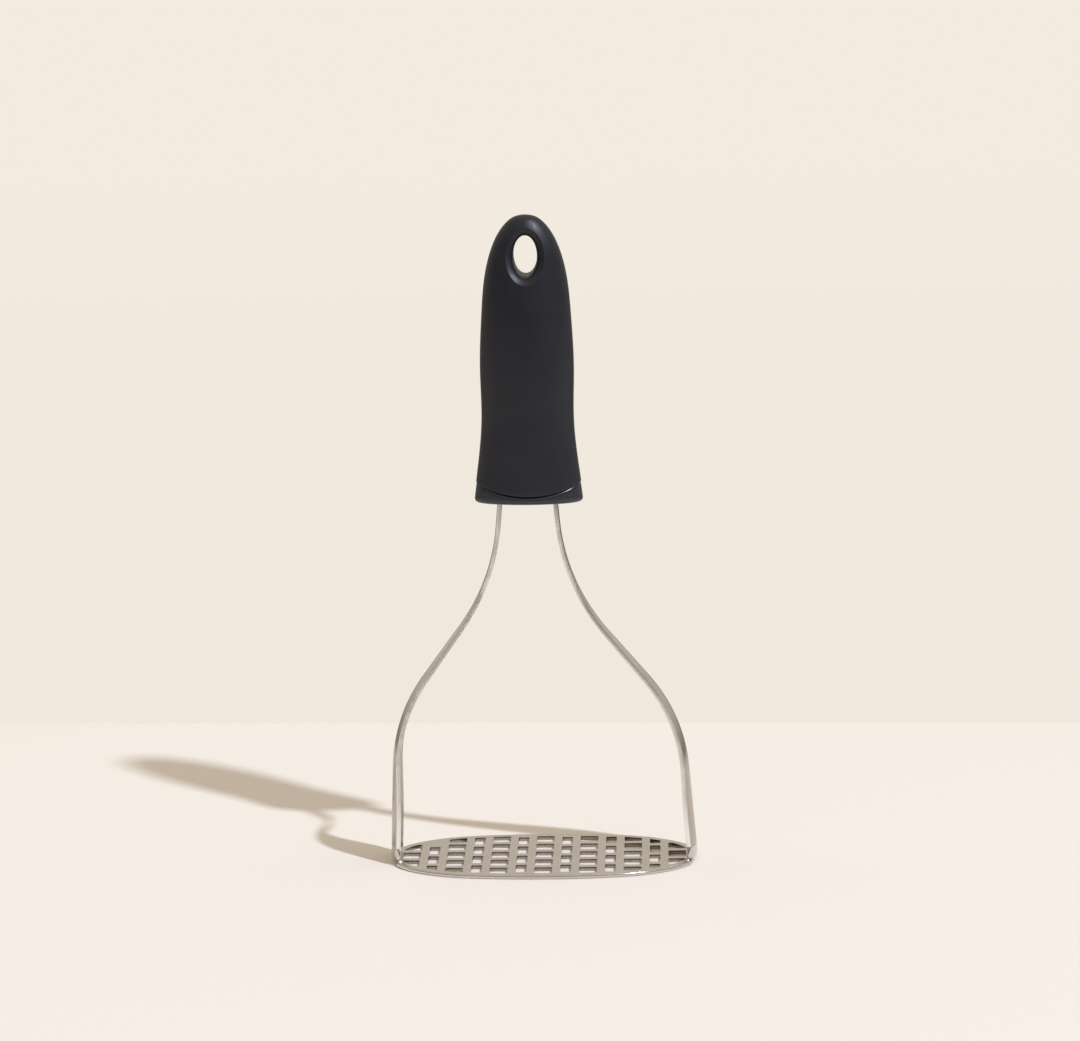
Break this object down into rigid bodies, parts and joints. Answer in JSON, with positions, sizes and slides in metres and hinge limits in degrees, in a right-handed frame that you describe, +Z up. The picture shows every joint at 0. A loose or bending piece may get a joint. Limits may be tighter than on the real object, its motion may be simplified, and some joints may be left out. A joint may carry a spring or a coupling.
{
  "type": "potato masher",
  "caption": "Hand masher: slotted oval stainless plate, cupped steel straps rising from its ends into a soft-grip handle with a hanging eye.",
  "frame": {"origin": "middle of the mashing plate's underside, on the surface it stands on", "axes": "+Z up the handle, +X along the plate's long way towards the right-hand strap, +Y across the plate"},
  "size_m": [0.1218, 0.065, 0.2582],
  "materials": {
    "stainless_steel": "satin brushed stainless",
    "soft_grip": "matt soft-touch silicone",
    "hard_collar": "polished hard plastic",
    "core_plastic": "as moulded"
  },
  "bodies": {
    "root": {"mashing_plate": "stainless_steel", "left_strap": "stainless_steel", "right_strap": "stainless_steel", "left_strap_pin": "stainless_steel", "right_strap_pin": "stainless_steel", "handle_core": "core_plastic", "end_collar": "hard_collar", "grip_sleeve": "soft_grip"}
  },
  "joints": []
}
